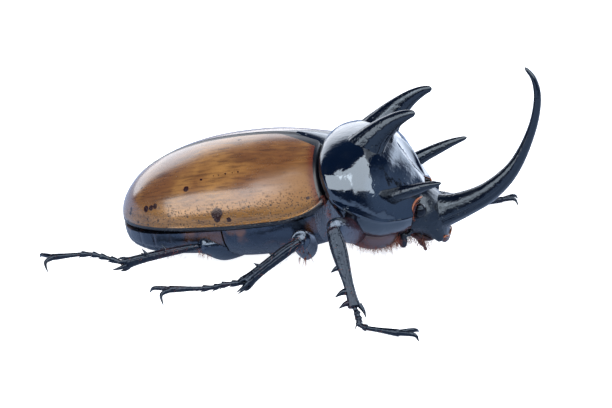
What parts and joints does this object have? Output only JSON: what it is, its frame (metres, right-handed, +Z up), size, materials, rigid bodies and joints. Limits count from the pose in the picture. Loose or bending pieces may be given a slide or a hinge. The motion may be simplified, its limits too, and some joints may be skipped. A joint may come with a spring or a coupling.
{
  "type": "five-horned rhinoceros beetle",
  "caption": "Still life-size museum model of a male five-horned rhinoceros beetle, standing on its feet, with ochre wing cases and a tall curved head horn.",
  "frame": {"origin": "centre of the bounding box on the floor plane, under the body", "axes": "+X towards the head and its horn, +Y towards the animal's left side, +Z up"},
  "size_m": [0.0898, 0.0712, 0.0394],
  "materials": {
    "wing_case": "glossy ochre horn with fine dark punctures and a black border",
    "black_cuticle": "polished black horn with a blue-grey sheen",
    "belly": "satin blue-black plates with red-brown joints",
    "leg_cuticle": "satin black with fine pits",
    "eye": "glossy dark facets"
  },
  "bodies": {
    "root": {"elytron_left": "wing_case", "elytron_right": "wing_case", "scutellum": "black_cuticle", "abdomen": "belly", "pterothorax": "belly", "prothorax": "black_cuticle", "horn_upper_left": "black_cuticle", "horn_upper_right": "black_cuticle", "horn_lower_left": "black_cuticle", "horn_lower_right": "black_cuticle", "horn_head": "black_cuticle", "head": "black_cuticle", "eye_left": "eye", "eye_right": "eye", "antenna_left": "leg_cuticle", "antenna_right": "leg_cuticle", "mouthparts": "belly", "femur_front_left": "leg_cuticle", "tibia_front_left": "leg_cuticle", "tarsus_front_left": "leg_cuticle", "femur_front_right": "leg_cuticle", "tibia_front_right": "leg_cuticle", "tarsus_front_right": "leg_cuticle", "femur_middle_left": "leg_cuticle", "tibia_middle_left": "leg_cuticle", "tarsus_middle_left": "leg_cuticle", "femur_middle_right": "leg_cuticle", "tibia_middle_right": "leg_cuticle", "tarsus_middle_right": "leg_cuticle", "femur_hind_left": "leg_cuticle", "tibia_hind_left": "leg_cuticle", "tarsus_hind_left": "leg_cuticle", "femur_hind_right": "leg_cuticle", "tibia_hind_right": "leg_cuticle", "tarsus_hind_right": "leg_cuticle"}
  },
  "joints": []
}
